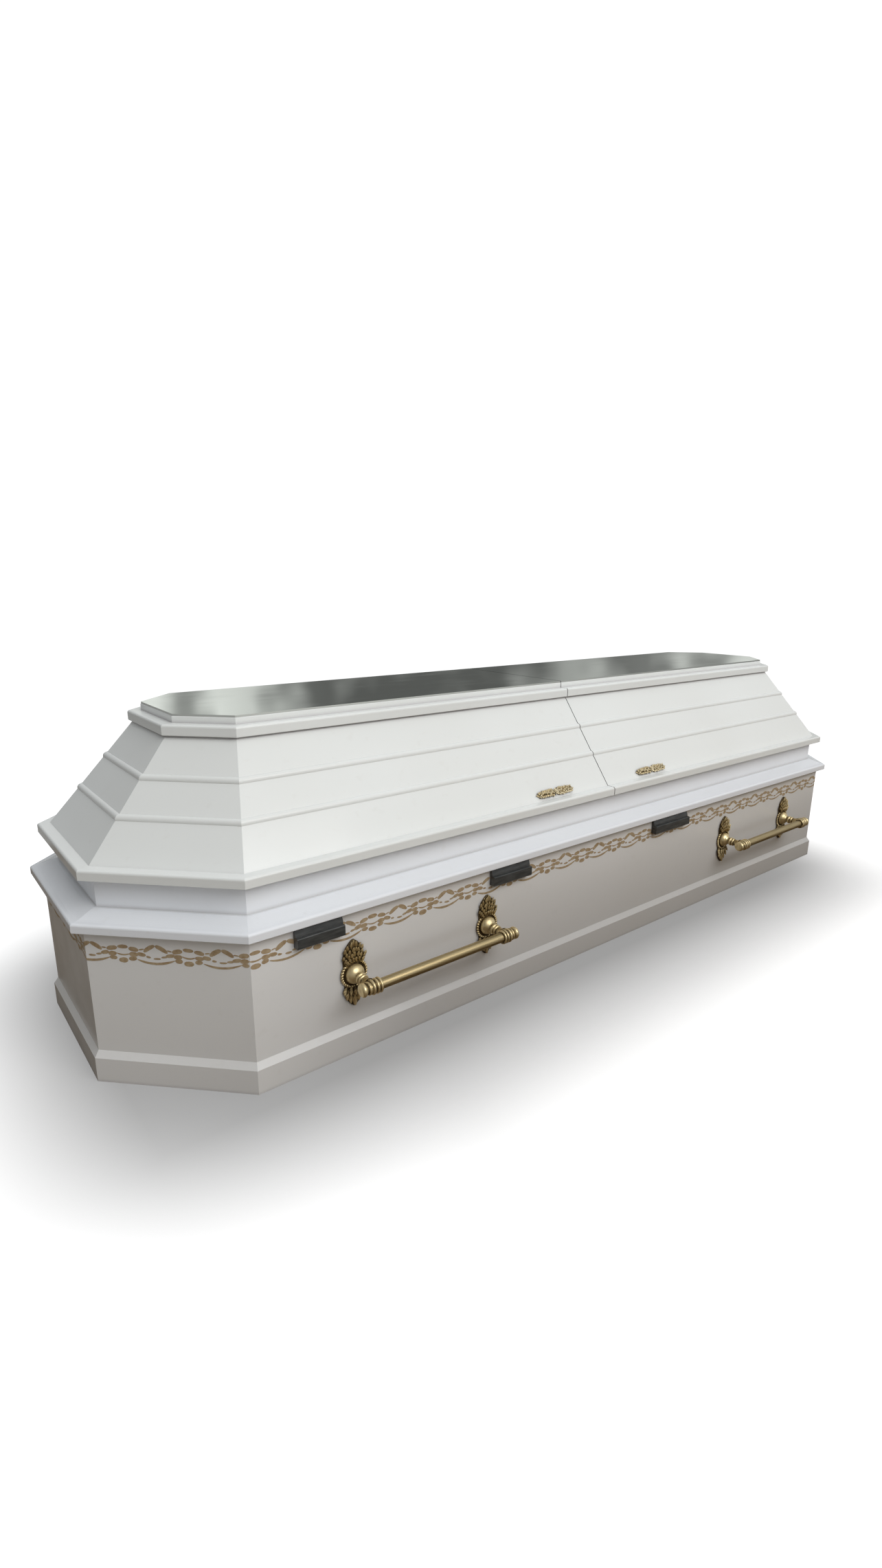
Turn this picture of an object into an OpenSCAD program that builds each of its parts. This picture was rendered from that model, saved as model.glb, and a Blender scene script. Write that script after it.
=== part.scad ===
// Eight-sided white lacquered coffin with a two-part panelled lid, mirror top and brass handles.
// X runs along the coffin with the head end at -X, -Y is the front, Z is up from the ground.

/* [Box] */
// Length over the end walls
base_l = 2000; // [1700:10:2400]
// Width over the side walls
base_w = 616; // [510:2:760]
// Run of each cut-off corner along both walls
corner_run = 174; // [140:2:210]
// Height of the box walls
base_h = 248; // [200:1:320]
// Thickness of the wall boards
board_t = 18; // [12:1:22]
// Thickness of the floor board
floor_t = 16; // [10:1:24]

/* [Plinth moulding] */
// How far the plinth stands out from the wall
plinth_out = 7; // [4:0.5:14]
// Height of the plinth's flat face
plinth_h = 41; // [20:1:60]
// Rise of the bevel above the flat face
plinth_bevel = 9; // [3:1:16]

/* [Lid frame] */
// Height of the frame that carries both lids
frame_h = 73.5; // [60:0.5:110]
// Thickness of the frame's upright band
frame_t = 18; // [12:1:22]
// How far the lip stands out from the wall
lip_out = 17.5; // [10:0.5:26]
// Height of the lip's upright edge
lip_h = 15; // [10:1:20]
// Rise of the curved top of the lip up to the band
lip_rise = 10; // [4:1:16]
// How far the band lies behind the wall face
band_in = 23.5; // [16:0.5:28]

/* [Lids] */
// Place of the joint between the head lid and the foot lid
split_x = -40; // [-200:5:200]
// Gap between the two lids
split_gap = 2; // [1:0.5:5]
// How far the rim strip lies behind the wall face
rim_in = 1; // [0:0.5:6]
// Height of the rim strip
rim_h = 15.5; // [10:0.5:24]
// Width of the flat ledge outside the slopes
ledge_w = 18.5; // [10:0.5:24]
// Height of the slopes
slope_h = 166; // [120:1:220]
// Thickness of the sloping boards
slope_t = 12; // [8:1:16]
// How far the slope leans in on the long sides
side_lean = 127.5; // [100:0.5:155]
// How far the slope leans in at the ends
end_lean = 139; // [100:1:180]
// Run of each cut-off corner at the top of the slopes
top_run = 79; // [60:1:95]
// Radius of the beads on the slopes
bead_r = 7; // [5:0.2:7.2]
// How far the beads stand out from the slopes
bead_out = 2.8; // [1.5:0.1:5]
// Height of the lower bead above the rim strip
bead_low = 59; // [40:1:70]
// Height of the upper bead above the rim strip
bead_high = 110; // [90:1:120]

/* [Stepped top] */
// How far the lower step stands out from the slopes
step_out = 7.5; // [4:0.5:12]
// Thickness of the lower step
step_low = 17; // [10:1:24]
// How far the upper step lies behind the slopes
step_in = 12.5; // [6:0.5:20]
// Thickness of the upper step
step_high = 10.5; // [6:0.5:16]
// Thickness of the mirror
mirror_t = 3; // [2:0.5:5]
// Bare edge of the upper step around the mirror
mirror_edge = 1; // [0.5:0.5:6]

/* [Handles] */
// Distance of each handle's middle from the coffin's middle
handle_x = 520; // [420:5:560]
// Distance between the two brackets of a handle
handle_span = 278; // [200:2:320]
// Height of the bracket's boss and of the bar
handle_z = 139; // [125:1:145]
// How far the bar's centre stands out from the wall
bar_out = 55; // [46:1:70]
// Radius of the bar
bar_r = 8.5; // [7:0.1:9.2]
// Clearance between the bar and its socket
bar_fit = 0.2; // [0.1:0.05:0.4]
// How deep the bar sits in each socket
socket_depth = 20; // [14:1:24]
// Length of each ringed socket
socket_l = 35; // [34:1:44]
// Radius of the bracket's domed boss
boss_r = 16.5; // [14:0.5:18]
// Thickness of the bracket's plate
plate_t = 2.5; // [2:0.5:4]
// Length of the leafy crown above the boss
crown_l = 61; // [52:1:64]
// Length of the leafy tail below the boss
tail_l = 59; // [50:1:62]

/* [Closing catches] */
// Middle of the catch near the head end
head_catch_x = -718; // [-760:2:-600]
// Length of the catch near the head end
head_catch_l = 80; // [70:2:120]
// Middle of the catch before the joint between the lids
middle_catch_x = -328; // [-450:2:-200]
// Length of the catch before the joint
middle_catch_l = 92; // [80:2:130]
// Middle of the catch on the foot lid
foot_catch_x = 153; // [60:1:300]
// Length of the catch on the foot lid
foot_catch_l = 121; // [90:1:150]
// Height of each catch
catch_h = 34; // [28:1:44]
// How far the lower bar of each catch stands out
catch_out = 13; // [8:0.5:15]
// Gap between a catch and the lip above it
catch_gap = 0.5; // [0.3:0.1:2]

/* [Lid ornaments] */
// Distance of each ornament from the joint between the lids
spray_x = 148; // [100:1:250]
// Length of each ornament
spray_l = 105; // [80:1:120]
// Height of each ornament up the slope
spray_w = 17; // [14:1:24]

/* [Hidden] */
head_or_foot = ["head", "foot"];
front_or_back = ["front", "back"];
inner_or_outer = ["inner", "outer"];
// The walls in order round the box, starting at the foot end
walls = ["foot", "foot_back", "back", "head_back", "head", "head_front", "front", "foot_front"];
head_walls = [for (k = [2:6]) k];
foot_walls = [0, 1, 2, 6, 7];
catches = ["head", "middle", "foot"];

$fn = 64;

// Longer than the coffin in any direction
far = 2 * base_l;
// How far a piece is sunk into the piece it is carved or cast with
sunk = 0.8;
frame_top = base_h + frame_h;
rim_top = frame_top + rim_h;
slope_top = rim_top + slope_h;
// Back of the lid frame and of the rim strips, measured from the wall face
frame_in = band_in + frame_t;
edge_r = 4;
small_r = 1.6;

// An outline is [half length, half width, reach]: its cut corners lie where |x| + |y| = reach.
function outline(l, w, run) = [l / 2, w / 2, (l + w) / 2 - run];
function grown(o, d) = [o[0] + d, o[1] + d, o[2] + d * sqrt(2)];
// Distance of face k from the centre. Face k looks towards the angle 45 * k.
function face(o, k) = k % 4 == 0 ? o[0] : k % 4 == 2 ? o[1] : o[2] / sqrt(2);
// Corner between face k and the next face
function corner(o, k) =
    let (a = 45 * k, b = a + 45, da = face(o, k), db = face(o, k + 1))
    [da * sin(b) - db * sin(a), db * cos(a) - da * cos(b)] / sin(45);
function ring(o) = [for (k = [0:7]) corner(o, k)];
function turned(r, a) = [r * cos(a), r * sin(a)];
function arc(centre, r, from, to, steps = 5) =
    [for (i = [0:steps]) centre + turned(r, from + (to - from) * i / steps)];

base = outline(base_l, base_w, corner_run);
foot_in = rim_in + ledge_w;
slope_foot = grown(base, -foot_in);
slope_head = outline(base_l - 2 * (foot_in + end_lean), base_w - 2 * (foot_in + side_lean), top_run);

// How steep the slope above each kind of face is: end, side and corner
corner_share = [1, 1, sqrt(2)];
slope_angle = [for (i = [0:2]) atan2(slope_h, (slope_foot[i] - slope_head[i]) / corner_share[i])];
// Outline of the slopes at a share of their height, moved out by a number of board thicknesses
function slope_at(share, boards) = [for (i = [0:2])
    slope_foot[i] + (slope_head[i] - slope_foot[i]) * share
    + boards * slope_t * corner_share[i] / sin(slope_angle[i])];

plinth_profile = concat(
    [[0, 0], [plinth_out, 0]],
    arc([plinth_out - small_r, plinth_h - small_r], small_r, 0, 50),
    [[0, plinth_h + plinth_bevel]]
);

ogee_steps = 8;
ogee_start = lip_out - edge_r;
frame_profile = concat(
    [[-frame_in, base_h], [lip_out - small_r, base_h]],
    arc([lip_out - small_r, base_h + small_r], small_r, -90, 0, 3),
    arc([ogee_start, base_h + lip_h - edge_r], edge_r, 0, 90),
    [for (i = [1:ogee_steps]) [
        ogee_start - (ogee_start + band_in) * i / ogee_steps,
        base_h + lip_h + lip_rise * (1 - cos(180 * i / ogee_steps)) / 2
    ]],
    [[-band_in, frame_top], [-frame_in, frame_top]]
);

rim_profile = concat(
    [[-frame_in, frame_top], [-rim_in, frame_top]],
    arc([-rim_in - edge_r, rim_top - edge_r], edge_r, 0, 90),
    [[-frame_in, rim_top]]
);

step_top = slope_top + step_low;
top_profile = concat(
    [[-far, slope_top], [step_out - small_r, slope_top]],
    arc([step_out - small_r, slope_top + small_r], small_r, -90, 0, 3),
    arc([step_out - edge_r, step_top - edge_r], edge_r, 0, 90),
    [[-step_in, step_top]],
    arc([-step_in - small_r, step_top + step_high - small_r], small_r, 0, 90, 3),
    [[-far, step_top + step_high]]
);

// A bar of the given [out, height] profile along face k of an outline
module face_bar(o, k, profile) {
    rotate([0, 0, 45 * k])
        translate([face(o, k), 0, 0])
            rotate([90, 0, 0])
                linear_extrude(far, center = true)
                    polygon(profile);
}

// The space above face k between two offsets of an outline, ending on the mitres
module mitre_space(o, k, inside, outside, z, h) {
    inner = grown(o, -inside);
    outer = grown(o, outside);
    translate([0, 0, z])
        linear_extrude(h)
            polygon([corner(inner, k + 7), corner(outer, k + 7), corner(outer, k), corner(inner, k)]);
}

// One mitred length of moulding on face k of the box
module moulding(k, profile) {
    intersection() {
        face_bar(base, k, profile);
        mitre_space(base, k, 2 * frame_in, 2 * lip_out, -1, slope_top);
    }
}

// What lies on one lid's side of the joint
module lid_half(lid) {
    reach = lid == "head" ? [-far, split_x - split_gap / 2] : [split_x + split_gap / 2, far];
    intersection() {
        children();
        translate([reach[0], -far / 2, 0]) cube([reach[1] - reach[0], far, far]);
    }
}

module floor_board() {
    color("white")
        linear_extrude(floor_t)
            polygon(ring(grown(base, -board_t)));
}

module wall_board(k) {
    color("white") mitre_space(base, k, board_t, 0, 0, base_h);
}

module plinth_moulding() {
    color("white")
        for (k = [0:7])
            moulding(k, plinth_profile);
}

module lid_frame(k) {
    color("white") moulding(k, frame_profile);
}

module lid_rim(lid, k) {
    color("white") lid_half(lid) moulding(k, rim_profile);
}

// The block above face k that lies between two offsets of the slopes, in board thicknesses
module slope_block(k, inside, outside) {
    rings = [for (share = [0, 1], boards = [inside, outside]) slope_at(share, boards)];
    function level(i, z) = [
        for (j = [[i, 7], [i + 1, 7], [i + 1, 8], [i, 8]])
            let (p = corner(rings[j[0]], k + j[1]))
            [p[0], p[1], z]
    ];
    polyhedron(
        concat(level(0, rim_top), level(2, slope_top)),
        [[0, 1, 2, 3], [4, 5, 1, 0], [7, 6, 5, 4], [5, 6, 2, 1], [6, 7, 3, 2], [7, 4, 0, 3]]
    );
}

module slope_bead(k, height) {
    here = slope_at(height / slope_h, 0);
    lean = atan2(slope_h, face(slope_foot, k) - face(slope_head, k));
    depth = bead_r - bead_out;
    rotate([0, 0, 45 * k])
        translate([face(here, k) - depth * sin(lean), 0, rim_top + height - depth * cos(lean)])
            rotate([90, 0, 0])
                cylinder(r = bead_r, h = far, center = true);
}

// Section of the board above face k, run on past the rim strip and the top
function board_section(k) =
    let (
        foot = [0, rim_top],
        head = [face(slope_head, k) - face(slope_foot, k), slope_top],
        past = slope_t * (head - foot) / norm(head - foot),
        through = [-past[1], past[0]]
    )
    [foot - past, head + past, head + past + through, foot - past + through];

module lid_slope(lid, k) {
    color("white")
        lid_half(lid)
            intersection() {
                union() {
                    face_bar(slope_foot, k, board_section(k));
                    slope_bead(k, bead_low);
                    slope_bead(k, bead_high);
                }
                slope_block(k, -1.5, 1);
            }
}

module lid_top(lid) {
    color("white")
        lid_half(lid)
            intersection_for(k = [0:7])
                face_bar(slope_head, k, top_profile);
}

module lid_mirror(lid) {
    color("silver")
        lid_half(lid)
            translate([0, 0, step_top + step_high])
                linear_extrude(mirror_t)
                    polygon(ring(grown(slope_head, -step_in - mirror_edge)));
}

// A pointed leaf lying along +Y with a raised midrib, its root at the origin
module leaf(l, w, h) {
    function half_w(share) = w / 2 * sin(180 * pow(share, 0.8));
    shares = [0.25, 0.5, 0.78];
    ribs = [[0, 0.12 * l, 0.8 * h], [0, 0.45 * l, h], [0, 0.8 * l, 0.7 * h]];
    right = [for (s = shares) [half_w(s), s * l, 0]];
    left = [for (s = [0.78, 0.5, 0.25]) [-half_w(s), s * l, 0]];
    // Points 0 to 7 run round the edge from the root, 8 to 10 are on the midrib
    polyhedron(
        concat([[0, 0, 0]], right, [[0, l, 0]], left, ribs),
        [
            [0, 1, 2, 3, 4, 5, 6, 7],
            [1, 0, 8], [2, 1, 8], [9, 2, 8], [3, 2, 9], [10, 3, 9], [4, 3, 10],
            [5, 4, 10], [6, 5, 10], [9, 6, 10], [6, 9, 8], [7, 6, 8], [0, 7, 8]
        ]
    );
}

// A row of upright leaves, [root x, root y, angle, length] each, and its mirror image
module leaf_row(leaves, w, h) {
    for (l = leaves, side = l[0] == 0 ? [1] : [-1, 1])
        translate([side * l[0], l[1], 0])
            rotate([0, 0, -side * l[2]])
                leaf(l[3], w, h);
}

shield_r = boss_r + 5.5;
rope_r = 2.5;
rope_lift = 0.4;
leaf_w = 9;
leaf_h = 4.5;
// How much each row of leaves stands out from the row above it
row_rise = 1.5;
// Rows of leaves from the tip down to the boss: [root x, root y, angle, length]
function tip_row(l) = [[0, 0.55 * l, 0, 0.45 * l], [6, 0.55 * l, 8, 0.36 * l], [12, 0.5 * l, 14, 0.3 * l]];
function middle_row(l) = [[4, 0.42 * l, 3, 0.32 * l], [11.5, 0.38 * l, 9, 0.3 * l]];
function root_row(l) = [[0, 0.32 * l, 0, 0.27 * l], [8, 0.31 * l, 5, 0.25 * l], [15, 0.28 * l, 10, 0.25 * l]];

// Right half of the outline behind the leaves, from the boss up
function crown_half(l) = [[19, 14], [19, 0.5 * l], [14, 0.74 * l], [8, 0.86 * l], [2, 0.94 * l]];
function both_sides(half) = concat(half, [for (i = [len(half) - 1:-1:0]) [-half[i][0], half[i][1]]]);

// Leaves that overlap like roof tiles on a pointed plate of length l
module crown(l) {
    linear_extrude(plate_t) polygon(both_sides(crown_half(l)));
    translate([0, 0, plate_t - sunk]) {
        leaf_row(tip_row(l), leaf_w, leaf_h);
        leaf_row(middle_row(l), leaf_w, leaf_h + row_rise);
        leaf_row(root_row(l), leaf_w, leaf_h + 2 * row_rise);
    }
}

// Leafy plate behind the boss, in X and Y with its front towards +Z
module bracket_plate() {
    cylinder(r = shield_r, h = plate_t);
    translate([0, 0, plate_t + rope_lift])
        rotate_extrude()
            translate([shield_r, 0]) circle(rope_r);
    crown(crown_l);
    mirror([0, 1, 0]) crown(tail_l);
}

// Domed boss with a waisted neck, turned about +Z
boss_h = 17;
neck_r = 7;
// Distance from the wall to the flared end of the neck, a little inside the socket
neck_end = bar_out - bar_r - 0.6;
boss_profile = concat(
    [[0, 0], [boss_r, 0], [boss_r, plate_t]],
    [for (a = [10:10:60]) [boss_r * cos(a), plate_t + (boss_h - plate_t) * sin(a)]],
    [[neck_r, boss_h + 3], [neck_r, neck_end - 7], [neck_r + 3, neck_end], [0, neck_end]]
);
collar_r = 2.5;
collar_profile = concat([[0, 0]], arc([neck_r + 0.5, collar_r], collar_r, -90, 90, 8), [[0, 2 * collar_r]]);

module bracket_arm() {
    rotate([90, 0, 0]) {
        rotate_extrude() polygon(boss_profile);
        translate([0, 0, boss_h + 5]) rotate_extrude() polygon(collar_profile);
    }
}

// Ringed socket about +X: mouth at the left, turned finial at the right
socket_wall = bar_r + 2;
finial_r = 4.5;
socket_profile = concat(
    [[0, 0], [socket_wall, 0]],
    arc([socket_wall, 2], 2, -90, 90, 6),
    [[socket_wall, 5.5]],
    arc([socket_wall, 8], 2, -90, 90, 6),
    [[socket_wall, 12]],
    arc([socket_wall, 15], 2, -90, 90, 6),
    [[socket_wall - 1, 19], [socket_wall - 1, 21]],
    arc([socket_wall + 2 - finial_r, socket_l - finial_r], finial_r, -70, 90, 8),
    [[0, socket_l]]
);
// How far the socket's middle lies beyond the boss
socket_shift = 4;

module bracket_socket() {
    rotate([0, 90, 0])
        translate([0, 0, socket_shift - socket_l / 2])
            rotate_extrude() polygon(socket_profile);
}

// A bracket with its boss at the origin on a wall that faces -Y, its finial towards +X
module bracket() {
    color("darkgoldenrod")
        difference() {
            union() {
                rotate([90, 0, 0]) bracket_plate();
                bracket_arm();
                translate([0, -bar_out, 0]) bracket_socket();
            }
            translate([-socket_l, -bar_out, 0])
                rotate([0, 90, 0])
                    cylinder(r = bar_r + bar_fit, h = socket_l / 2 + socket_shift + socket_depth);
        }
}

// Places a handle's own piece on the front or back wall, towards the head or the foot
module on_wall(side, lid) {
    toward = lid == "head" ? -1 : 1;
    translate([toward * handle_x, (side == "front" ? -1 : 1) * base_w / 2, handle_z])
        rotate([0, 0, side == "front" ? 0 : 180])
            children();
}

module handle_bracket(side, lid, end) {
    // The finial points away from the handle's middle, which the back wall turns about
    outward = (lid == "head" ? -1 : 1) * (side == "front" ? 1 : -1) * (end == "outer" ? 1 : -1);
    on_wall(side, lid)
        translate([outward * handle_span / 2, 0, 0])
            mirror([outward < 0 ? 1 : 0, 0, 0])
                bracket();
}

module handle_bar(side, lid) {
    bar_end = handle_span / 2 + socket_shift - socket_l / 2 + socket_depth - bar_fit;
    color("goldenrod")
        on_wall(side, lid)
            translate([0, -bar_out, 0])
                rotate([0, 90, 0])
                    cylinder(r = bar_r, h = 2 * bar_end, center = true);
}

// Place along the coffin and length of each catch
catch_sizes = [
    [head_catch_x, head_catch_l],
    [middle_catch_x, middle_catch_l],
    [foot_catch_x, foot_catch_l]
];
catch_bar = 17;
leaf_out = 3;
leaf_curl = 4;
leaf_steps = 5;

// Section of a catch in [out, height from its top]: a curved leaf above a square bar
catch_profile = concat(
    [[0, -catch_h], [catch_out - 1, -catch_h]],
    [[catch_out, 1 - catch_h], [catch_out, catch_bar - 1 - catch_h], [catch_out - 1, catch_bar - catch_h]],
    [for (i = [0:leaf_steps]) [
        leaf_out + leaf_curl * (1 + cos(180 * i / leaf_steps)) / 2,
        (catch_bar - catch_h) * (1 - i / leaf_steps)
    ]],
    [[0, 0]]
);

module closing_catch(place) {
    sizes = catch_sizes[search([place], catches)[0]];
    color("dimgray")
        translate([sizes[0], -base_w / 2, base_h - catch_gap])
            rotate([0, 0, -90])
                rotate([90, 0, 0])
                    linear_extrude(sizes[1], center = true)
                        polygon(catch_profile);
}

// Height of each ornament's middle above the rim strip
spray_lift = 9.5;

// A spray of leaves about a central flower, in X and Y with its front towards +Z
module spray() {
    half = spray_l / 2;
    pairs = 5;
    pitch = (half - 14) / pairs;
    translate([-half + 8, -spray_w * 0.16, 0]) cube([spray_l - 16, spray_w * 0.32, 2.5]);
    for (side = [-1, 1]) {
        for (i = [0:pairs - 1], lean = [-1, 1])
            translate([side * (5 + pitch * i), 0, 1])
                rotate([0, 0, side * (-90 + lean * 38)])
                    leaf(spray_w * 0.72, 6.5, 4.5);
        translate([side * (half - 16), 0, 1])
            rotate([0, 0, -90 * side])
                leaf(16, 8, 4);
    }
    for (a = [0:60:300])
        rotate([0, 0, a + 30]) translate([0, 0, 2]) leaf(spray_w / 2, 6, 4.5);
    translate([0, 0, 4]) sphere(r = 3.5, $fn = 24);
}

module lid_ornament(lid) {
    here = slope_at(spray_lift / slope_h, 0);
    color("darkgoldenrod")
        translate([split_x + (lid == "head" ? -1 : 1) * spray_x, -here[1], rim_top + spray_lift])
            rotate([slope_angle[1], 0, 0])
                spray();
}

floor_board();
plinth_moulding();
for (k = [0:7]) {
    wall_board(k);
    lid_frame(k);
}
for (k = head_walls) {
    lid_rim("head", k);
    lid_slope("head", k);
}
for (k = foot_walls) {
    lid_rim("foot", k);
    lid_slope("foot", k);
}
for (lid = head_or_foot) {
    lid_top(lid);
    lid_mirror(lid);
    lid_ornament(lid);
}
for (place = catches)
    closing_catch(place);
for (side = front_or_back, lid = head_or_foot) {
    handle_bar(side, lid);
    for (end = inner_or_outer)
        handle_bracket(side, lid, end);
}
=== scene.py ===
"""White lacquered coffin: studio, camera, materials, painted border, relief of the brackets and sprays."""
import math
import random

import bmesh
import bpy
from mathutils import Matrix, Vector


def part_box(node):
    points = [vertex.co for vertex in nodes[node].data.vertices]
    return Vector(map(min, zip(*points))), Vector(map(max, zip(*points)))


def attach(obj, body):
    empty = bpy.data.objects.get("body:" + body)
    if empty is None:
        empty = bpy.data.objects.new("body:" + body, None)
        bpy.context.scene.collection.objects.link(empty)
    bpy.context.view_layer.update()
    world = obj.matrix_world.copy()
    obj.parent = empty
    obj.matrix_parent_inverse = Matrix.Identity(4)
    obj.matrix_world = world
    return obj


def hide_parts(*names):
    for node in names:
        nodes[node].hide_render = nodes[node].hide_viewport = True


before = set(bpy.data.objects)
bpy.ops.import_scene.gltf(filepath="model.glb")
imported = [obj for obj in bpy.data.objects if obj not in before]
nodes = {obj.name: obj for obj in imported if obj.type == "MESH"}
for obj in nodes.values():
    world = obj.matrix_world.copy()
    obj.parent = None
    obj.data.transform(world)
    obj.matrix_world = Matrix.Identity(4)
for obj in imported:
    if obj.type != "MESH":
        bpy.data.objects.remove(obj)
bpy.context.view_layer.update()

MM = 0.001


# ---------------------------------------------------------------- camera and lights

CAMERA_PLACE = Vector((-1.1969, -1.2055, 0.7254))
CAMERA_YAW = math.radians(51.605)
CAMERA_PITCH = math.radians(15.09)
CAMERA_ROLL = math.radians(0.364)
CAMERA_LENS = 16.908
SENSOR_WIDTH = 36


def placed(name, data):
    """A new object for this mesh, light or camera."""
    thing = bpy.data.objects.new(name, data)
    bpy.context.scene.collection.objects.link(thing)
    return thing


def add_camera():
    data = bpy.data.cameras.new("camera")
    data.lens = CAMERA_LENS
    data.sensor_width = SENSOR_WIDTH
    camera = placed("camera", data)
    turn = Matrix.Rotation(CAMERA_YAW - math.pi / 2, 4, "Z")
    tilt = Matrix.Rotation(math.pi / 2 - CAMERA_PITCH, 4, "X")
    roll = Matrix.Rotation(CAMERA_ROLL, 4, "Z")
    camera.matrix_world = Matrix.Translation(CAMERA_PLACE) @ turn @ tilt @ roll
    bpy.context.scene.camera = camera


def add_area_light(name, place, target, size, power, colour, glossy=True):
    data = bpy.data.lights.new(name, "AREA")
    data.shape = "RECTANGLE"
    data.size, data.size_y = size
    data.energy = power
    data.color = colour
    light = placed(name, data)
    light.location = place
    light.rotation_euler = (Vector(target) - Vector(place)).to_track_quat("-Z", "Y").to_euler()
    light.visible_glossy = glossy
    light.visible_camera = False


# ---------------------------------------------------------------- shader nodes


def new_material(name):
    material = bpy.data.materials.new(name)
    material.use_nodes = True
    tree = material.node_tree
    tree.nodes.clear()
    return material, tree


def node(tree, kind, **inputs):
    """A new node, each input set to a value or linked to a socket."""
    made = tree.nodes.new(kind)
    for name, value in inputs.items():
        socket = made.inputs[name.replace("_", " ")]
        if isinstance(value, bpy.types.NodeSocket):
            tree.links.new(value, socket)
        else:
            socket.default_value = value
    return made


def ramped(tree, value, low, high, to_low, to_high):
    """From to_low at low to to_high at high, and level beyond them."""
    made = node(tree, "ShaderNodeMapRange", Value=value)
    made.inputs["From Min"].default_value = low
    made.inputs["From Max"].default_value = high
    made.inputs["To Min"].default_value = to_low
    made.inputs["To Max"].default_value = to_high
    return made.outputs["Result"]


def eased(tree, value, low, high, to_low, to_high):
    """As ramped, with soft ends."""
    made = ramped(tree, value, low, high, to_low, to_high)
    made.node.interpolation_type = "SMOOTHSTEP"
    return made


def math_node(tree, operation, first, second):
    made = node(tree, "ShaderNodeMath", Value=first)
    made.operation = operation
    if isinstance(second, bpy.types.NodeSocket):
        tree.links.new(second, made.inputs[1])
    else:
        made.inputs[1].default_value = second
    return made.outputs[0]


def product(tree, first, second):
    return math_node(tree, "MULTIPLY", first, second)


def vector_math(tree, operation, first, second=None):
    made = tree.nodes.new("ShaderNodeVectorMath")
    made.operation = operation
    tree.links.new(first, made.inputs[0])
    if second:
        made.inputs[1].default_value = second
    return made.outputs["Value" if operation in ("LENGTH", "DOT_PRODUCT") else "Vector"]


# ---------------------------------------------------------------- studio

WHITE = (1, 1, 1, 1)
WHITE_GLOW = 1.05
BACKDROP_RADIUS = 30
# The floor's painted soft shadow, in metres: its middle is -SHADE_SHIFT, and its corners are cut by
# SHADE_CUT
SHADE_SHIFT = (0.12, 0.04, 0)
SHADE_HALF = (0.86, 0.31, 0)
SHADE_CUT = 0.05
SHADE_BLEND = 0.2
FLOOR_FADE = (1.6, 3.2)


def stage_sheet(name, corners, material):
    """One four-cornered sheet of the studio."""
    mesh = bpy.data.meshes.new(name)
    mesh.from_pydata(corners, [], [(0, 1, 2, 3)])
    mesh.materials.append(material)
    sheet = placed(name, mesh)
    return sheet


def level_sheet(name, half, z, material):
    x, y = half
    return stage_sheet(name, [(-x, -y, z), (x, -y, z), (x, y, z), (-x, y, z)], material)


def floor_material():
    """Pale floor with a painted soft shadow about the coffin, lit partly by a painted glow, and plain white
    further out.
    """
    material, tree = new_material("pale_floor")
    place = node(tree, "ShaderNodeNewGeometry").outputs["Position"]
    fade = eased(tree, vector_math(tree, "LENGTH", place), *FLOOR_FADE, 0, 1)
    from_middle = vector_math(tree, "ABSOLUTE", vector_math(tree, "ADD", place, SHADE_SHIFT))
    beyond = vector_math(tree, "SUBTRACT", from_middle, SHADE_HALF)
    from_sides = vector_math(tree, "LENGTH", vector_math(tree, "MAXIMUM", beyond, (0, 0, 0)))
    diagonal = vector_math(tree, "DOT_PRODUCT", beyond, (0.7071, 0.7071, 0))
    from_corners = ramped(tree, diagonal, -1, 1, SHADE_CUT - 1, SHADE_CUT + 1)
    distance = math_node(tree, "SMOOTH_MAX", from_sides, from_corners)
    distance.node.inputs[2].default_value = SHADE_BLEND
    # Painted shadow: the floor's colour and its glow grow darker towards the coffin's footprint
    shade = eased(tree, distance, -0.07, 0.335, 0.32, 1.25)
    lit = product(tree, shade, 0.55)
    grey = node(tree, "ShaderNodeCombineXYZ", X=lit, Y=lit, Z=lit).outputs[0]
    glow = node(tree, "ShaderNodeEmission", Strength=product(tree, shade, 0.6))
    near = tree.nodes.new("ShaderNodeAddShader")
    tree.links.new(node(tree, "ShaderNodeBsdfDiffuse", Color=grey).outputs[0], near.inputs[0])
    tree.links.new(glow.outputs[0], near.inputs[1])
    white = node(tree, "ShaderNodeEmission", Color=WHITE, Strength=WHITE_GLOW)
    mixed = tree.nodes.new("ShaderNodeMixShader")
    tree.links.new(fade, mixed.inputs[0])
    tree.links.new(near.outputs[0], mixed.inputs[1])
    tree.links.new(white.outputs[0], mixed.inputs[2])
    node(tree, "ShaderNodeOutputMaterial", Surface=mixed.outputs[0])
    return material


def bounce_material(name, colour):
    """Matt surface of the unseen sheets, whose colour the coffin's walls pick up."""
    material, tree = new_material(name)
    diffuse = node(tree, "ShaderNodeBsdfDiffuse", Color=colour)
    node(tree, "ShaderNodeOutputMaterial", Surface=diffuse.outputs[0])
    return material


def emitting_material(name, colour, strength):
    material, tree = new_material(name)
    glow = node(tree, "ShaderNodeEmission", Color=colour, Strength=strength)
    node(tree, "ShaderNodeOutputMaterial", Surface=glow.outputs[0])
    return material


def only_seen_by(thing, camera, light_paths):
    """Shows a thing to the camera, to the light that bounces about, or to both."""
    thing.visible_camera = camera
    thing.visible_diffuse = light_paths
    thing.visible_glossy = light_paths
    thing.visible_transmission = light_paths
    thing.visible_shadow = light_paths


def add_backdrop():
    """White all round, for the camera only."""
    mesh = bpy.data.meshes.new("backdrop")
    grid = bmesh.new()
    bmesh.ops.create_uvsphere(grid, u_segments=48, v_segments=24, radius=BACKDROP_RADIUS)
    grid.to_mesh(mesh)
    grid.free()
    mesh.materials.append(emitting_material("backdrop_white", WHITE, WHITE_GLOW))
    backdrop = placed("backdrop", mesh)
    only_seen_by(backdrop, True, False)


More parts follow.
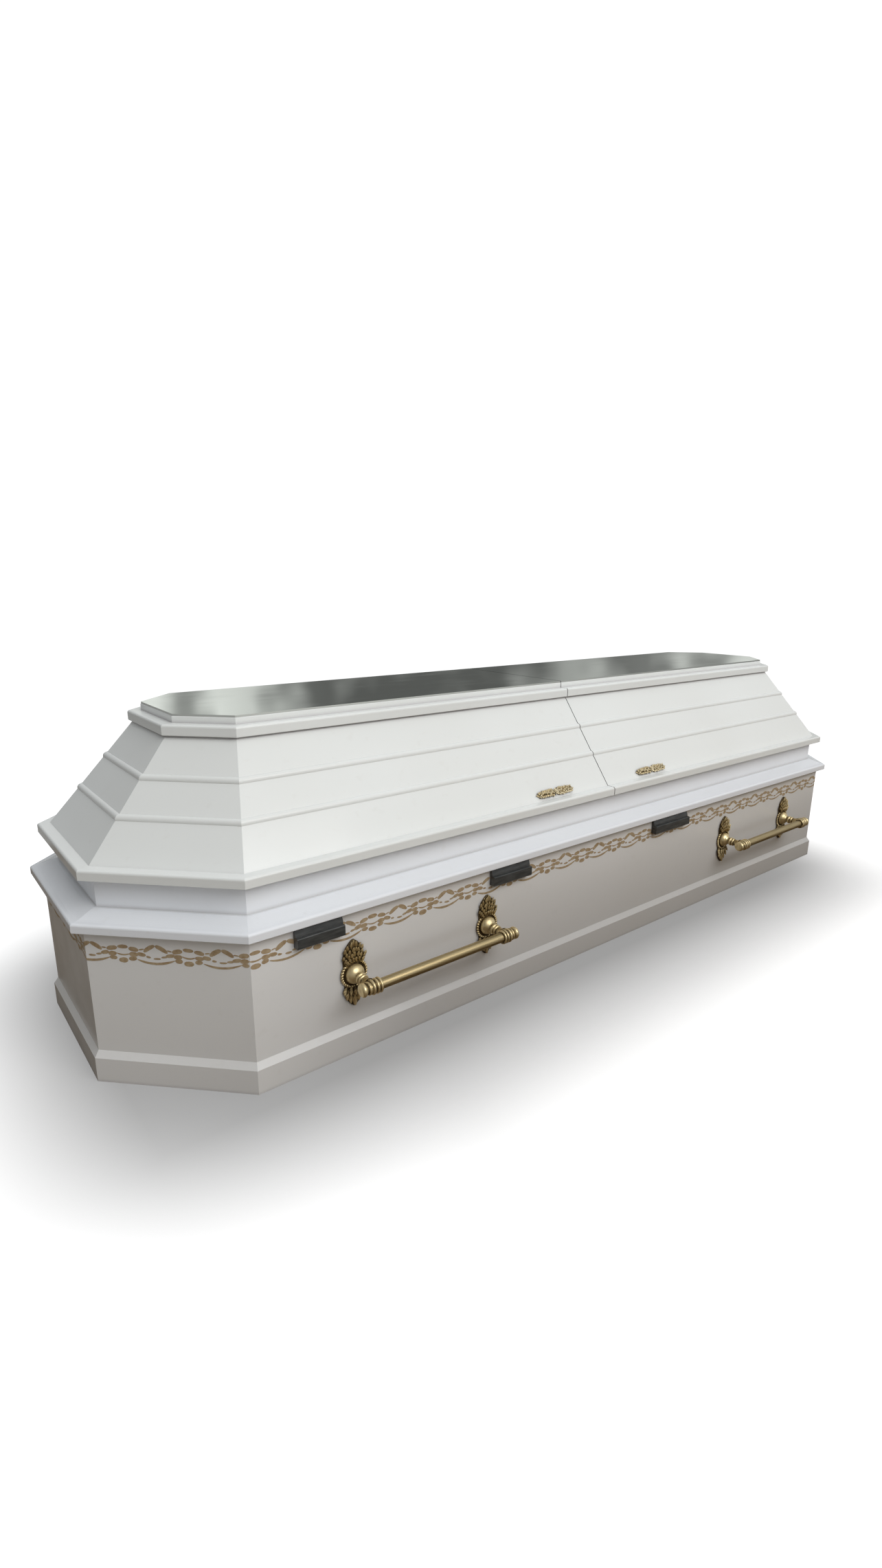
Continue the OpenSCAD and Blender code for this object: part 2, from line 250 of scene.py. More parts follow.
def add_world():
    """Soft light from all round the room: cool above, dimmer towards the head end."""
    world = bpy.data.worlds.new("studio")
    bpy.context.scene.world = world
    world.use_nodes = True
    tree = world.node_tree
    tree.nodes.clear()
    direction = node(tree, "ShaderNodeTexCoord").outputs["Generated"]
    parts = node(tree, "ShaderNodeSeparateXYZ", Vector=direction)
    along = ramped(tree, parts.outputs["X"], -0.9, 0.3, 0.22, 0.56)
    glow = node(tree, "ShaderNodeBackground", Color=(0.965, 0.985, 1.0, 1), Strength=along)
    node(tree, "ShaderNodeOutputWorld", Surface=glow.outputs[0])


def add_mirror_card():
    """Dim card low behind the coffin, seen only in reflections: it gives the mirror its darker middle."""
    material, tree = new_material("dim_card")
    place = node(tree, "ShaderNodeTexCoord").outputs["Object"]
    parts = node(tree, "ShaderNodeSeparateXYZ", Vector=place)
    near_end = eased(tree, parts.outputs["X"], -3.0, -0.8, 0.5, 0.17)
    far_end = eased(tree, parts.outputs["X"], 0.8, 2.4, 0, 0.2)
    room = math_node(tree, "ADD", near_end, far_end)
    cloud = node(tree, "ShaderNodeTexNoise", Vector=place, Scale=1.3, Detail=2.0).outputs["Fac"]
    strength = product(tree, room, eased(tree, cloud, 0.42, 0.66, 0.62, 1.9))
    glow = node(tree, "ShaderNodeEmission", Color=(0.97, 1.0, 0.95, 1), Strength=strength)
    node(tree, "ShaderNodeOutputMaterial", Surface=glow.outputs[0])
    card = stage_sheet("dim_card", [(-7, 0, -1), (7, 0, -1), (7, 0, 0.75), (-7, 0, 0.75)], material)
    card.location = (3.2, 4.2, 1.1)
    card.rotation_euler = (0, 0, math.radians(-38))
    card.visible_camera = False
    card.visible_diffuse = False
    card.visible_shadow = False


def add_flag():
    """Low screen in front, out of the camera's sight: the light falls off towards the foot of the walls."""
    corners = [(-0.7, -0.8, 0.16), (2.2, -0.8, 0.16), (2.2, -0.8, 0.5), (-0.7, -0.8, 0.5)]
    flag = stage_sheet("flag", corners, bounce_material("warm_flag", (0.36, 0.24, 0.12, 1)))
    flag.visible_camera = False
    flag.visible_glossy = False


def add_studio():
    wide = (BACKDROP_RADIUS, BACKDROP_RADIUS)
    only_seen_by(level_sheet("floor", wide, 0, floor_material()), True, False)
    pale = bounce_material("bounce_floor", (0.5, 0.49, 0.47, 1))
    only_seen_by(level_sheet("bounce_floor", wide, -2 * MM, pale), False, True)
    brown = bounce_material("bounce_mat", (0.17, 0.12, 0.07, 1))
    only_seen_by(level_sheet("bounce_mat", (1.75, 1.05), -1 * MM, brown), False, True)
    add_backdrop()
    add_world()
    add_mirror_card()
    add_flag()
    middle = (0, 0, 0.3)
    add_area_light("key", (0.2, -4.6, 4.0), middle, (4.8, 3.0), 178, (1.0, 0.99, 0.975))
    add_area_light("top", (0.3, 0.3, 3.6), middle, (3.0, 3.0), 16, (0.97, 0.985, 1.0), glossy=False)
    bpy.context.scene.view_settings.view_transform = "Standard"
    bpy.context.scene.view_settings.look = "None"


# ---------------------------------------------------------------- materials


def mixed_colour(tree, factor, first, second):
    made = tree.nodes.new("ShaderNodeMix")
    made.data_type = "RGBA"
    for index, value in ((0, factor), (6, first), (7, second)):
        if isinstance(value, bpy.types.NodeSocket):
            tree.links.new(value, made.inputs[index])
        else:
            made.inputs[index].default_value = value
    return made.outputs[2]


def noise(tree, scale, detail=2.0, stretch=None):
    place = node(tree, "ShaderNodeTexCoord").outputs["Object"]
    if stretch:
        place = node(tree, "ShaderNodeMapping", Vector=place, Scale=stretch).outputs[0]
    return node(tree, "ShaderNodeTexNoise", Vector=place, Scale=scale, Detail=detail).outputs["Fac"]


def bumped(tree, height, strength, distance, normal=None):
    made = node(tree, "ShaderNodeBump", Height=height, Strength=strength, Distance=distance)
    if normal:
        tree.links.new(normal, made.inputs["Normal"])
    return made.outputs[0]


def crevices(tree, distance, low, high):
    """1 in the open and 0 deep in a joint or a hollow."""
    shade = node(tree, "ShaderNodeAmbientOcclusion", Distance=distance)
    shade.samples = 8
    return ramped(tree, shade.outputs["AO"], low, high, 0, 1)


def finished(tree, **inputs):
    shader = node(tree, "ShaderNodeBsdfPrincipled", **inputs)
    node(tree, "ShaderNodeOutputMaterial", Surface=shader.outputs[0])


def lacquer(name, clean, aged):
    """Sprayed white lacquer: faint orange peel, slow waves in the boards, specks of dust, and painted shade
    in the joints.
    """
    material, tree = new_material(name)
    tint = mixed_colour(tree, ramped(tree, noise(tree, 2.2), 0.35, 0.65, 0, 1), clean, aged)
    speckle = ramped(tree, noise(tree, 60, 4.0), 0.62, 0.75, 0, 0.12)
    dusty = mixed_colour(tree, speckle, tint, (0.7, 0.68, 0.64, 1))
    # Painted shade: the lacquer turns grey where ambient occlusion finds a joint, a hollow or an overhang
    open_air = crevices(tree, 9 * MM, 0.35, 0.9)
    colour = mixed_colour(tree, open_air, (0.56, 0.55, 0.55, 1), dusty)
    peel = bumped(tree, noise(tree, 260, 1.0), 0.22, 0.12 * MM)
    waves = bumped(tree, noise(tree, 9, 1.0), 0.3, 0.9 * MM, peel)
    rough = ramped(tree, noise(tree, 14, 3.0), 0.3, 0.7, 0.17, 0.27)
    gloss = {"Coat_Weight": 0.15, "Coat_Roughness": 0.09, "IOR": 1.34}
    finished(tree, Base_Color=colour, Roughness=rough, Normal=waves, **gloss)
    return material


def mirror_glass():
    """Silvered glass with a faint green tint and a thin veil of dust and wiping marks."""
    material, tree = new_material("mirror_glass")
    veil = ramped(tree, noise(tree, 5, 4.0, (1, 3, 1)), 0.42, 0.75, 0, 0.22)
    colour = mixed_colour(tree, veil, (0.80, 0.835, 0.81, 1), (0.70, 0.72, 0.70, 1))
    rough = ramped(tree, noise(tree, 7, 3.0, (1, 4, 1)), 0.4, 0.8, 0.012, 0.11)
    finished(tree, Base_Color=colour, Metallic=1.0, Roughness=rough)
    return material


def brass(name, high, middle, deep, rough_low, rough_high, metallic):
    """Cast brass: bright on the ridges, dark in the hollows."""
    material, tree = new_material(name)
    relief = node(tree, "ShaderNodeAttribute")
    relief.attribute_name = "relief"
    worn = ramped(tree, noise(tree, 180, 3.0), 0.3, 0.7, -0.22, 0.22)
    level = math_node(tree, "ADD", relief.outputs["Fac"], worn)
    ramp = node(tree, "ShaderNodeValToRGB", Fac=level)
    ramp.color_ramp.elements[0].position = 0.12
    ramp.color_ramp.elements[0].color = deep
    ramp.color_ramp.elements[1].position = 0.85
    ramp.color_ramp.elements[1].color = high
    ramp.color_ramp.elements.new(0.45).color = middle
    open_air = crevices(tree, 5 * MM, 0.25, 0.85)
    colour = mixed_colour(tree, open_air, deep, ramp.outputs[0])
    rough = ramped(tree, noise(tree, 90, 3.0), 0.3, 0.7, rough_low, rough_high)
    grain = bumped(tree, noise(tree, 700, 2.0), 0.25, 0.15 * MM)
    finished(tree, Base_Color=colour, Metallic=metallic, Roughness=rough, Normal=grain)
    return material


def bar_brass():
    """Drawn brass tube, brushed along its length."""
    material, tree = new_material("satin_brass")
    streak = noise(tree, 30, 3.0, (0.6, 14, 14))
    share = ramped(tree, streak, 0.3, 0.7, 0, 1)
    colour = mixed_colour(tree, share, (0.46, 0.36, 0.19, 1), (0.58, 0.47, 0.27, 1))
    rough = ramped(tree, streak, 0.3, 0.7, 0.34, 0.48)
    brushed = bumped(tree, noise(tree, 60, 3.0, (0.4, 12, 12)), 0.12, 0.1 * MM)
    finished(tree, Base_Color=colour, Metallic=1.0, Roughness=rough, Normal=brushed)
    return material


def gold_paint():
    """Patchy gold paint, brushed on by hand."""
    material, tree = new_material("gold_paint")
    patchy = ramped(tree, noise(tree, 130, 4.0), 0.35, 0.65, 0, 1)
    colour = mixed_colour(tree, patchy, (0.4, 0.285, 0.165, 1), (0.52, 0.405, 0.26, 1))
    rough = ramped(tree, noise(tree, 200, 2.0), 0.3, 0.7, 0.34, 0.55)
    brushed = bumped(tree, noise(tree, 500, 2.0), 0.3, 0.1 * MM)
    finished(tree, Base_Color=colour, Metallic=0.1, Roughness=rough, Normal=brushed)
    return material


def black_metal():
    """Black semi-gloss enamel, a little rubbed."""
    material, tree = new_material("black_metal")
    streak = ramped(tree, noise(tree, 40, 4.0, (1, 6, 6)), 0.35, 0.75, 0, 1)
    colour = mixed_colour(tree, streak, (0.03, 0.032, 0.032, 1), (0.075, 0.08, 0.079, 1))
    rough = ramped(tree, noise(tree, 120, 3.0), 0.3, 0.7, 0.3, 0.48)
    grain = bumped(tree, noise(tree, 800, 2.0), 0.25, 0.1 * MM)
    finished(tree, Base_Color=colour, Roughness=rough, Normal=grain, Coat_Weight=0.25, Coat_Roughness=0.2)
    return material


# ---------------------------------------------------------------- mesh building

SHARP_ANGLE = math.radians(50)


class Build:
    """Gathers closed shells in millimetres, each point with its relief from 0, deep, to 1, high."""

    def __init__(self):
        self.points = []
        self.faces = []
        self.relief = []

    def add(self, points, faces, relief, place=Matrix()):
        start = len(self.points)
        self.points += [place @ Vector(p) for p in points]
        self.faces += [tuple(start + i for i in face) for face in faces]
        self.relief += relief

    def include(self, other, place):
        """Adds another build, turned the right way out where place mirrors it."""
        flipped = place.determinant() < 0
        faces = [tuple(reversed(f)) for f in other.faces] if flipped else other.faces
        self.add(other.points, faces, other.relief, place)


def sharp_edges(mesh):
    """Leaves the edges smooth that bend less than SHARP_ANGLE."""
    shell = bmesh.new()
    shell.from_mesh(mesh)
    for edge in shell.edges:
        edge.smooth = len(edge.link_faces) == 2 and edge.calc_face_angle(0) < SHARP_ANGLE
    shell.to_mesh(mesh)
    shell.free()


def make_piece(name, build, material, replaces=()):
    """One piece of the coffin from a build, standing for the CAD nodes in replaces."""
    mesh = bpy.data.meshes.new(name)
    mesh.from_pydata([p * MM for p in build.points], [], build.faces)
    mesh.polygons.foreach_set("use_smooth", [True] * len(mesh.polygons))
    sharp_edges(mesh)
    relief = mesh.attributes.new("relief", "FLOAT", "POINT")
    relief.data.foreach_set("value", build.relief)
    mesh.materials.append(material)
    piece = placed(name, mesh)
    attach(piece, "root")
    if replaces:
        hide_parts(*replaces)


def lathe(build, profile, place=Matrix(), around=40):
    """Turns [radius, height, relief] points about +Z. The profile starts and ends on the axis."""
    points, shade, faces = [], [], []
    rings = profile[1:-1]
    for radius, height, level in rings:
        for i in range(around):
            a = 2 * math.pi * i / around
            points.append((radius * math.cos(a), radius * math.sin(a), height))
            shade.append(level)
    for row in range(len(rings) - 1):
        for i in range(around):
            a, b = row * around + i, row * around + (i + 1) % around
            faces.append((a, b, b + around, a + around))
    first, last = len(points), len(points) + 1
    points += [(0, 0, profile[0][1]), (0, 0, profile[-1][1])]
    shade += [profile[0][2], profile[-1][2]]
    top = (len(rings) - 1) * around
    for i in range(around):
        j = (i + 1) % around
        faces.append((first, j, i))
        faces.append((last, top + i, top + j))
    build.add(points, faces, shade, place)


def ball(build, centre, radius, place=Matrix(), flat=1.0, around=12):
    """A ball, or a button where flat is under 1, brighter towards its top."""
    steps = 7
    profile = [
        (
            radius * math.sin(math.pi * i / steps),
            -radius * flat * math.cos(math.pi * i / steps),
            0.15 + 0.85 * i / steps,
        )
        for i in range(steps + 1)
    ]
    lathe(build, profile, place @ Matrix.Translation(centre), around)


def turned(angle, axis="Z"):
    return Matrix.Rotation(math.radians(angle), 4, axis)


def moved(x, y, z=0.0):
    return Matrix.Translation((x, y, z))


LEAF_ROWS = 16
LEAF_HALF_COLUMNS = 5


def leaf(build, length, width, rise, curl, place=Matrix(), lobes=3, swing=0.0, full=0.75):
    """A carved leaf along +Y on z = 0, with lobed edges, a raised midrib and a tip that curls up by curl.

    It bends sideways by swing, and the larger full is, the further out it is widest.
    """
    points, shade, faces = [], [], []
    columns = 2 * LEAF_HALF_COLUMNS + 1
    for row in range(LEAF_ROWS + 1):
        v = 0.015 + 0.97 * row / LEAF_ROWS
        lobe = 1 + 0.16 * math.cos(2 * math.pi * lobes * v) * (1 - v)
        half = width / 2 * math.sin(math.pi * v ** full) ** 0.7 * lobe
        spine = rise * math.sin(math.pi * min(v * 0.92 + 0.04, 1)) ** 0.6
        lift = curl * v ** 2.5
        bend = swing * v * v
        for column in range(columns):
            u = column / LEAF_HALF_COLUMNS - 1
            dome = (1 - u * u) ** 0.5
            rib = 0.38 * math.exp(-((u / 0.16) ** 2))
            vein = 0.10 * math.sin(2 * math.pi * (lobes * v - abs(u) * 0.9)) * abs(u) * (1 - abs(u)) * 4
            height = spine * (0.62 * dome + rib + vein)
            edge = abs(u) > 0.999
            points.append((half * u + bend, length * v, lift + (0 if edge else max(height, 0.02))))
            shade.append(0.0 if edge else min(1, 0.12 + 1.1 * dome * v * v + rib + vein))
    for row in range(LEAF_ROWS):
        for column in range(columns - 1):
            a = row * columns + column
            faces.append((a, a + 1, a + columns + 1, a + columns))
        left, right = row * columns, row * columns + columns - 1
        faces.append((left, left + columns, right + columns, right))
    faces.append(tuple(reversed(range(columns))))
    last = LEAF_ROWS * columns
    faces.append(tuple(range(last, last + columns)))
    build.add(points, faces, shade, place)


def slab(build, outline, thickness, bevel, level=0.1):
    """A flat plate of the given outline with a bevelled front edge."""
    count = len(outline)
    centre = Vector((sum(p[0] for p in outline) / count, sum(p[1] for p in outline) / count))

    def ring(inset, z):
        made = []
        for x, y in outline:
            away = Vector((x, y)) - centre
            away *= 1 - inset / away.length
            made.append((centre[0] + away[0], centre[1] + away[1], z))
        return made

    points = ring(0, 0) + ring(0, thickness - bevel) + ring(bevel, thickness)
    faces = [tuple(reversed(range(count))), tuple(range(2 * count, 3 * count))]
    for row in range(2):
        for i in range(count):
            a, b = row * count + i, row * count + (i + 1) % count
            faces.append((a, b, b + count, a + count))
    build.add(points, faces, [level] * len(points))


# ---------------------------------------------------------------- painted border

BORDER_HEIGHT = 213
BORDER_SEED = 49
PERIOD_COUNT = 49
FIRST_ROSETTE = 8.0
PAINT_SUNK = 0.15
PAINT_PROUD = 0.25
STROKE_STEPS = 10
STROKE_REACH = 1.12

# Strokes of one repeat: [from, by way of, to, width], from the middle of the rosette, in mm
ROSETTE = [
    [(-7.5, 10.9), (0, 11.4), (7.5, 10.9), 4.5],
    [(-6.5, -9.8), (0, -10.2), (6.5, -9.8), 5.6],
    [(-9.0, 1.0), (0, -3.6), (9.0, 0.5), 1.7],
]
ROSETTE_SIDE = [
    [(9.8, 9.0), (16.7, 8.8), (23.2, 6.6), 4.8],
    [(10.5, -0.3), (16, 0.4), (22, -0.8), 4.6],
    [(9.6, -6.4), (14.5, -7.4), (19.6, -6.0), 4.4],
    [(21.5, 1.6), (27, 0.4), (33, -0.6), 4.4],
]
GARLAND = [
    [(-13.9, -2.2), (-12.7, -3.0), (-8.4, -3.3), 2.2],
    [(-2.6, -5.0), (2, -5.4), (6.6, -5.0), 2.2],
    [(8.6, -2.9), (12.7, -2.4), (17, -1.4), 2.2],
    [(-25, -8.2), (0, -18.4), (26, -6.8), 2.6],
]
GARLAND_SIDE = [
    [(1.0, 14.2), (9.2, 12.2), (16.6, 5.4), 4.8],
    [(17.8, 8.7), (21, 8.4), (24.2, 7.4), 1.5],
]


def mirrored(stroke):
    """The same stroke on the other side of the repeat's middle."""
    flip = [(-x, y) for x, y in stroke[:3]]
    return [flip[2], flip[1], flip[0], stroke[3]]


def curve_point(a, b, c, t):
    """On the smooth curve from a, pulled towards b, to c."""
    return tuple((1 - t) ** 2 * a[i] + 2 * t * (1 - t) * b[i] + t * t * c[i] for i in (0, 1))


def paint_stroke(build, stroke, along, height, hand):
    """One brush mark, full in the middle and round at both ends, as a thin closed slab."""
    shake = [(hand.gauss(0, 0.35), hand.gauss(0, 0.3)) for _ in range(3)]
    middle = [(stroke[0][i] + 2 * stroke[1][i] + stroke[2][i]) / 4 for i in (0, 1)]
    a, b, c = [
        tuple(middle[i] + STROKE_REACH * (p[i] - middle[i]) + d[i] for i in (0, 1))
        for p, d in zip(stroke[:3], shake)
    ]
    width = stroke[3] * hand.uniform(1.3, 1.6)
    proud = PAINT_PROUD + hand.uniform(0, 0.1)
    points, faces = [], []
    for i in range(STROKE_STEPS + 1):
        t = 0.5 - 0.5 * math.cos(math.pi * (0.04 + 0.92 * i / STROKE_STEPS))
        here, after = curve_point(a, b, c, t - 0.01), curve_point(a, b, c, t + 0.01)
        way = Vector((after[0] - here[0], after[1] - here[1])).normalized()
        half = width / 2 * (1 - abs(2 * t - 1) ** 2.6) ** 0.5 * hand.uniform(0.93, 1.05)
        x, z = along + (here[0] + after[0]) / 2, height + (here[1] + after[1]) / 2
        for side, depth in ((1, -PAINT_SUNK), (-1, -PAINT_SUNK), (-1, proud), (1, proud)):
            points.append((x - way[1] * half * side, depth, z + way[0] * half * side))
    for i in range(STROKE_STEPS):
        for j in range(4):
            p, q = 4 * i + j, 4 * i + (j + 1) % 4
            faces.append((p, q, q + 4, p + 4))
    faces += [(3, 2, 1, 0), tuple(4 * STROKE_STEPS + j for j in range(4))]
    build.add(points, faces, [0.5] * len(points))


def box_corners(out):
    """Corners of the box, its walls moved out by out, in order from the head end of the front wall."""
    half_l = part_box("wall_board_foot")[1].x / MM + out
    half_w = -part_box("wall_board_front")[0].y / MM + out
    run = half_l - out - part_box("wall_board_front")[1].x / MM + out * (2 - math.sqrt(2))
    a, b = half_l - run, half_w - run
    return [
        (-a, -half_w), (a, -half_w), (half_l, -b), (half_l, b),
        (a, half_w), (-a, half_w), (-half_l, b), (-half_l, -b),
    ]


def painted_border(material):
    """The strokes are laid out flat along the walls, cut at the corners and folded round the box."""
    hand = random.Random(BORDER_SEED)
    corners = box_corners(0)
    starts = [0.0]
    for i in range(8):
        a, b = Vector(corners[i]), Vector(corners[(i + 1) % 8])
        starts.append(starts[-1] + (b - a).length)
    period = starts[8] / PERIOD_COUNT

    flat = Build()
    rosette = ROSETTE + ROSETTE_SIDE + [mirrored(s) for s in ROSETTE_SIDE]
    garland = GARLAND + GARLAND_SIDE + [mirrored(s) for s in GARLAND_SIDE]
    for repeat in range(PERIOD_COUNT):
        for strokes, shift in ((rosette, 0), (garland, 0.5)):
            middle = FIRST_ROSETTE + period * (repeat + shift)
            for stroke in strokes:
                paint_stroke(flat, stroke, middle, BORDER_HEIGHT, hand)

    shell = bmesh.new()
    made = [shell.verts.new(p) for p in flat.points]
    for face in flat.faces:
        shell.faces.new([made[i] for i in face])
    for cut in starts[1:]:
        everything = shell.verts[:] + shell.edges[:] + shell.faces[:]
        bmesh.ops.bisect_plane(shell, geom=everything, plane_co=(cut, 0, 0), plane_no=(1, 0, 0))
    outwards = [Vector(b) - Vector(a) for a, b in zip(corners, box_corners(1))]
    for vert in shell.verts:
        along, depth, height = vert.co
        along %= starts[8]
        wall = max(i for i in range(8) if starts[i] <= along + 1e-4)
        t = (along - starts[wall]) / (starts[wall + 1] - starts[wall])
        a, b = (Vector(corners[i % 8]) + outwards[i % 8] * depth for i in (wall, wall + 1))
        place = a + (b - a) * t
        vert.co = (place[0], place[1], height)
    shell.normal_update()
    border = Build()
    shell.verts.index_update()
    points = [v.co.copy() for v in shell.verts]
    faces = [tuple(v.index for v in f.verts) for f in shell.faces]
    border.add(points, faces, [0.5] * len(points))
    shell.free()
    make_piece("painted_border", border, material)


# ---------------------------------------------------------------- handle brackets

# The brackets' own sizes in mm, as part.scad gives them
HANDLE_SPAN = 278
BAR_OUT = 55
BAR_R = 8.5
BOSS_R = 16.5
SOCKET_L = 35
SOCKET_SHIFT = 4
SOCKET_DEPTH = 20
CROWN_L = 61
TAIL_L = 59
SHIELD_R = 22
ROPE_R = 2.5
PLATE_T = 2.5


def leaf_row(build, leaves, width, rise, curl, z, lean):
    """Leaves [root x, root y, angle, length] and their mirror images, tipped forward by lean degrees.

    The small differences between them are seeded by how much is already built.
    """
    hand = random.Random(len(build.points))
    for x, y, angle, length in leaves:
        for side in (1, -1) if x else (1,):
            way = -side * angle + hand.uniform(-5, 5)
            place = moved(side * x, y, z + hand.uniform(-0.3, 0.6)) @ turned(way) @ turned(lean, "X")
            size = length * hand.uniform(0.92, 1.0)
            leaf(build, size, width, rise, curl, place, swing=hand.uniform(-1, 1), full=1.3)


def crown(build, l):
    """Rows of pointed leaves that overlap like roof tiles, on a pointed plate of length l."""
    half = [(18.5, 14), (19, 0.5 * l), (14, 0.74 * l), (8, 0.86 * l), (2, 0.94 * l)]
    slab(build, half + [(-x, y) for x, y in reversed(half)], PLATE_T, 0.7)
    tip = [(0, 0.55 * l, 0, 0.44 * l), (4.4, 0.56 * l, 3, 0.36 * l), (8.8, 0.54 * l, 8, 0.31 * l)]
    leaf_row(build, tip + [(13, 0.48 * l, 14, 0.3 * l)], 6.6, 3.4, 2.6, 1.6, 2)
    upper = [(2.4, 0.46 * l, 2, 0.32 * l), (7.2, 0.44 * l, 5, 0.3 * l), (12.0, 0.41 * l, 9, 0.27 * l)]
    leaf_row(build, upper + [(16.0, 0.34 * l, 14, 0.25 * l)], 6.6, 3.4, 2.6, 2.8, 3)
    middle = [(0, 0.38 * l, 0, 0.28 * l), (5.0, 0.37 * l, 4, 0.27 * l), (10.0, 0.35 * l, 8, 0.25 * l)]
    leaf_row(build, middle + [(14.8, 0.3 * l, 12, 0.22 * l)], 6.6, 3.4, 2.6, 4.0, 4)
    lower = [(2.6, 0.33 * l, 2, 0.18 * l), (7.8, 0.32 * l, 6, 0.18 * l), (12.8, 0.28 * l, 12, 0.18 * l)]
    leaf_row(build, lower, 6.2, 3.2, 2.2, 5.0, 6)


def tail(build, l):
    """A hanging leaf with smaller ones beside and over it, built upwards and turned over by the caller."""
    half = [(17.5, 12), (17, 0.5 * l), (11.5, 0.78 * l), (6, 0.9 * l), (1.5, 0.96 * l)]
    slab(build, half + [(-x, y) for x, y in reversed(half)], PLATE_T, 0.7)
    leaf_row(build, [(0, 0.42 * l, 0, 0.57 * l)], 11, 4.6, 2.2, 1.8, 1)
    leaf_row(build, [(6.5, 0.42 * l, 7, 0.44 * l), (11.5, 0.38 * l, 12, 0.36 * l)], 8, 3.8, 2.4, 1.8, 2)
    leaf_row(build, [(14.5, 0.3 * l, 16, 0.28 * l)], 7.5, 3.4, 2.4, 2.4, 3)
    leaf_row(build, [(0, 0.33 * l, 0, 0.3 * l), (6.6, 0.32 * l, 8, 0.26 * l)], 7.2, 3.4, 2.4, 4.4, 4)


def escutcheon(build):
    """The round shield behind the boss with its roped edge, its leafy crown and tail, front towards +Z."""
    shield = [(0, 0, 0.1), (SHIELD_R, 0, 0.1), (SHIELD_R, PLATE_T, 0.1), (BOSS_R + 1, PLATE_T + 0.6, 0.1)]
    lathe(build, shield + [(0, PLATE_T + 0.6, 0.1)])
    strands = 30
    for i in range(strands):
        place = turned(360 * i / strands) @ moved(0, SHIELD_R, PLATE_T + 0.3) @ turned(38)
        ball(build, (0, 0, 0), 1.0, place @ Matrix.Diagonal((ROPE_R + 0.6, 1.9, ROPE_R, 1)), around=10)
    crown(build, CROWN_L)
    upturned = Build()
    tail(upturned, TAIL_L)
    build.include(upturned, turned(180))


def rounded(centre_r, centre_h, radius, start, end, steps, level):
    """Lathe points on an arc, from start to end degrees, with level giving the relief."""
    made = []
    for i in range(steps + 1):
        a = math.radians(start + (end - start) * i / steps)
        made.append((centre_r + radius * math.cos(a), centre_h + radius * math.sin(a), level(a)))
    return made


def boss(build):
    """The domed boss and its waisted neck, turned about +Z."""
    neck_end = BAR_OUT - BAR_R - 1
    profile = [(0, 1.0, 0.2), (BOSS_R - 0.4, 1.0, 0.2), (BOSS_R - 0.2, 3.4, 0.3)]
    profile += [
        (BOSS_R * math.cos(math.radians(a)) ** 0.9, 3.4 + 14 * math.sin(math.radians(a)), 0.95)
        for a in range(6, 64, 6)
    ]
    profile += [(7.6, 18.2, 0.4), (7.0, 20.0, 0.25)]
    for base, radius in ((24, 2.6), (30.4, 1.9)):
        profile += rounded(7.2, base, radius, -80, 80, 6, lambda a: 0.45 + 0.5 * math.cos(a))
        profile += [(7.0, base + radius + 0.8, 0.2)]
    profile += [(7.2, 37.5, 0.5), (8.2, 41, 0.6), (10, neck_end, 0.5), (0, neck_end, 0.5)]
    lathe(build, profile)


def socket(build):
    """Ringed socket about +X: the bar goes in at the left, turned finial at the right."""
    place = moved(0, 0, BAR_OUT) @ turned(90, "Y") @ moved(0, 0, SOCKET_SHIFT - SOCKET_L / 2)
    bore = BAR_R + 0.25

    def lit(a):
        return 0.4 + 0.6 * abs(math.cos(a))

    profile = [(0, SOCKET_DEPTH, 0.1), (bore, SOCKET_DEPTH, 0.1), (bore, 0, 0.1)]
    profile += rounded(10.4, 2.0, 2.0, -90, 90, 6, lit)
    profile += [(10.1, 4.8, 0.15), (10.0, 5.3, 0.1)]
    profile += rounded(10.3, 8.0, 2.0, -80, 80, 6, lit)
    profile += [(9.9, 10.8, 0.1), (9.9, 12.0, 0.1)]
    profile += rounded(10.3, 15.0, 2.1, -80, 80, 6, lit)
    profile += [(9.9, 17.8, 0.15), (9.4, 19.2, 0.6)]
    profile += rounded(9.3, 21.6, 1.5, -80, 80, 6, lit)
    profile += [(8.6, 24.0, 0.1), (8.2, 25.4, 0.1)]
    profile += rounded(6.7, 30.4, 4.4, -75, 90, 10, lambda a: 0.9)
    profile += [(3.0, SOCKET_L, 0.7), (0, SOCKET_L, 0.7)]
    lathe(build, profile, place, 48)


def bracket_relief():
    """One bracket, its wall at z = 0 and its front towards +Z."""
    build = Build()
    escutcheon(build)
    boss(build)
    socket(build)
    return build


def add_brackets(material):
    relief = bracket_relief()
    for side in ("front", "back"):
        for lid in ("head", "foot"):
            low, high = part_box(f"handle_bar_{side}_{lid}")
            middle = (low + high) / 2 / MM
            front = side == "front"
            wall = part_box("wall_board_" + side)[0 if front else 1].y / MM
            facing = turned(0 if front else 180) @ turned(90, "X")
            for end in ("inner", "outer"):
                away = (-1 if lid == "head" else 1) * (1 if end == "outer" else -1)
                outward = away * (1 if front else -1)
                place = moved(middle.x + away * HANDLE_SPAN / 2, wall, middle.z) @ facing
                if outward < 0:
                    place = place @ Matrix.Scale(-1, 4, (1, 0, 0))
                build = Build()
                build.include(relief, place)
                name = f"bracket_{side}_{lid}_{end}"
                make_piece(name, build, material, [f"handle_{name}"])


# ---------------------------------------------------------------- lid ornaments

# The slope's and the spray's own sizes in mm, as part.scad gives them
SLOPE_H = 166
SIDE_LEAN = 127.5
LEDGE_W = 18.5
SPRAY_LIFT = 9.5
SPRAY_L = 105
SPRAY_W = 17
SPRAY_SEED = 7


